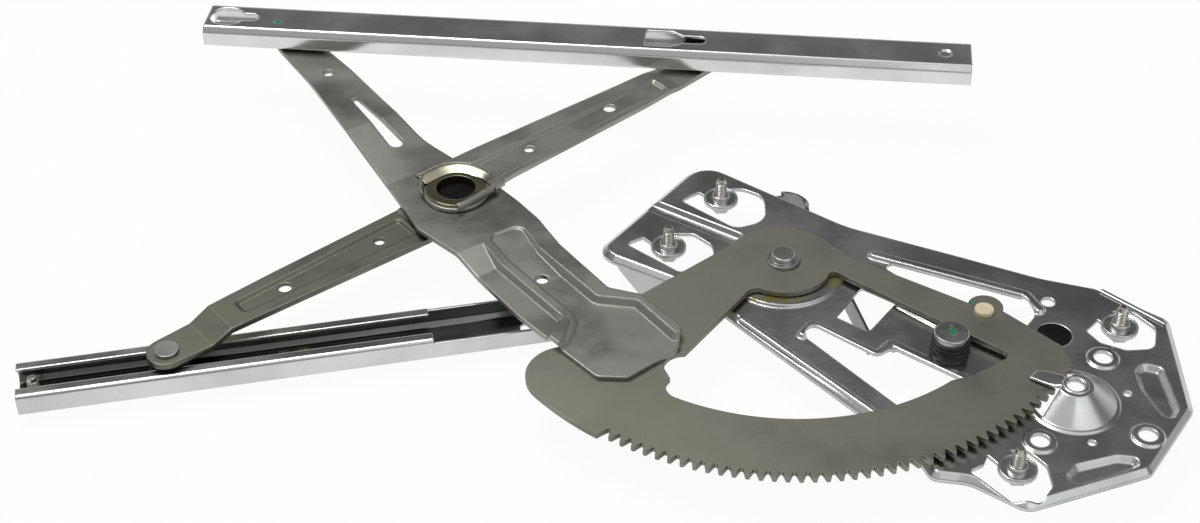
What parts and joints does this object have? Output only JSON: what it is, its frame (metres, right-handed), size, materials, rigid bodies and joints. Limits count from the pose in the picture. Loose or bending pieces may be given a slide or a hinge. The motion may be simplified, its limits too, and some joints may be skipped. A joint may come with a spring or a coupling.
{
  "type": "window regulator",
  "caption": "Scissor window regulator: toothed sector with a lift arm, crossed balance arms, sliding shoes, upper glass rail, lower guide rail and pressed mounting plate.",
  "frame": {"origin": "middle of the overall box's base, which lies under the lower rail's screw heads; the sector's pivot axis is at x = 99.2 mm, y = -22.8 mm", "axes": "+X along the door from the rails' left ends towards the motor's side, +Y up the door towards the glass, +Z out of the mounting plate towards the arms, along every pivot"},
  "size_m": [0.5886, 0.3978, 0.055],
  "materials": {
    "zinc_plate": "bright zinc plated sheet",
    "zinc_screw": "bright zinc plated",
    "rivet_steel": "plain turned steel",
    "black_rubber": "matte",
    "strap_steel": "bright strip",
    "zinc_rail": "bright zinc plated strip",
    "sector_steel": "oiled bare steel, matte",
    "arm_steel": "satin, zinc plated",
    "cream_nylon": "moulded",
    "yellow_zinc": "yellow passivated",
    "black_nylon": "moulded"
  },
  "bodies": {
    "base": {"mounting_plate": "zinc_plate", "mounting_screws": "zinc_screw", "pivot_rivet": "rivet_steel", "pivot_washer": "rivet_steel", "stop_post": "rivet_steel", "stop_bumper": "black_rubber", "plate_plug": "black_rubber", "rear_strap": "strap_steel", "lower_rail": "zinc_rail", "rail_screws": "zinc_screw"},
    "lift": {"sector_gear": "sector_steel", "lift_arm": "arm_steel", "guide_button": "cream_nylon", "upper_left_shoe_pin": "rivet_steel"},
    "balance": {"upper_balance_arm": "arm_steel", "lower_balance_arm": "arm_steel", "cross_rivet": "yellow_zinc", "cross_bush": "black_nylon", "upper_right_shoe_pin": "rivet_steel", "lower_shoe_pin": "rivet_steel"},
    "left_shoe": {"upper_left_shoe": "black_nylon"},
    "right_shoe": {"upper_right_shoe": "black_nylon"},
    "bottom_shoe": {"lower_shoe": "black_nylon"},
    "rail": {"upper_rail": "zinc_rail"}
  },
  "joints": [
    {"name": "sector_turn", "type": "hinge", "parent": "base", "child": "lift", "pos_m": [0.09917, -0.02285, 0.028], "axis": [0, 0, 1], "range_deg": [0, 80]},
    {"name": "crossing_turn", "type": "hinge", "parent": "lift", "child": "balance", "pos_m": [-0.07557, 0.03151, 0.0345], "axis": [0, 0, 1], "range_deg": [-160, 0]},
    {"name": "left_shoe_turn", "type": "hinge", "parent": "lift", "child": "left_shoe", "pos_m": [-0.18314, 0.17956, 0.0445], "axis": [0, 0, 1], "range_deg": [-80, 0]},
    {"name": "right_shoe_turn", "type": "hinge", "parent": "balance", "child": "right_shoe", "pos_m": [0.06254, 0.15157, 0.0445], "axis": [0, 0, 1], "range_deg": [0, 80]},
    {"name": "bottom_shoe_turn", "type": "hinge", "parent": "balance", "child": "bottom_shoe", "pos_m": [-0.21707, -0.08454, 0.0145], "axis": [0, 0, 1], "range_deg": [0, 80]},
    {"name": "rail_slide", "type": "slide", "parent": "left_shoe", "child": "rail", "axis": [0.9936, -0.1132, 0], "range_m": [-0.024, 0.03]}
  ],
  "couplings": [
    {"joint": "crossing_turn", "follows": "sector_turn", "ratio": -2},
    {"joint": "left_shoe_turn", "follows": "sector_turn", "ratio": -1},
    {"joint": "right_shoe_turn", "follows": "sector_turn", "ratio": 1},
    {"joint": "bottom_shoe_turn", "follows": "sector_turn", "ratio": 1}
  ]
}
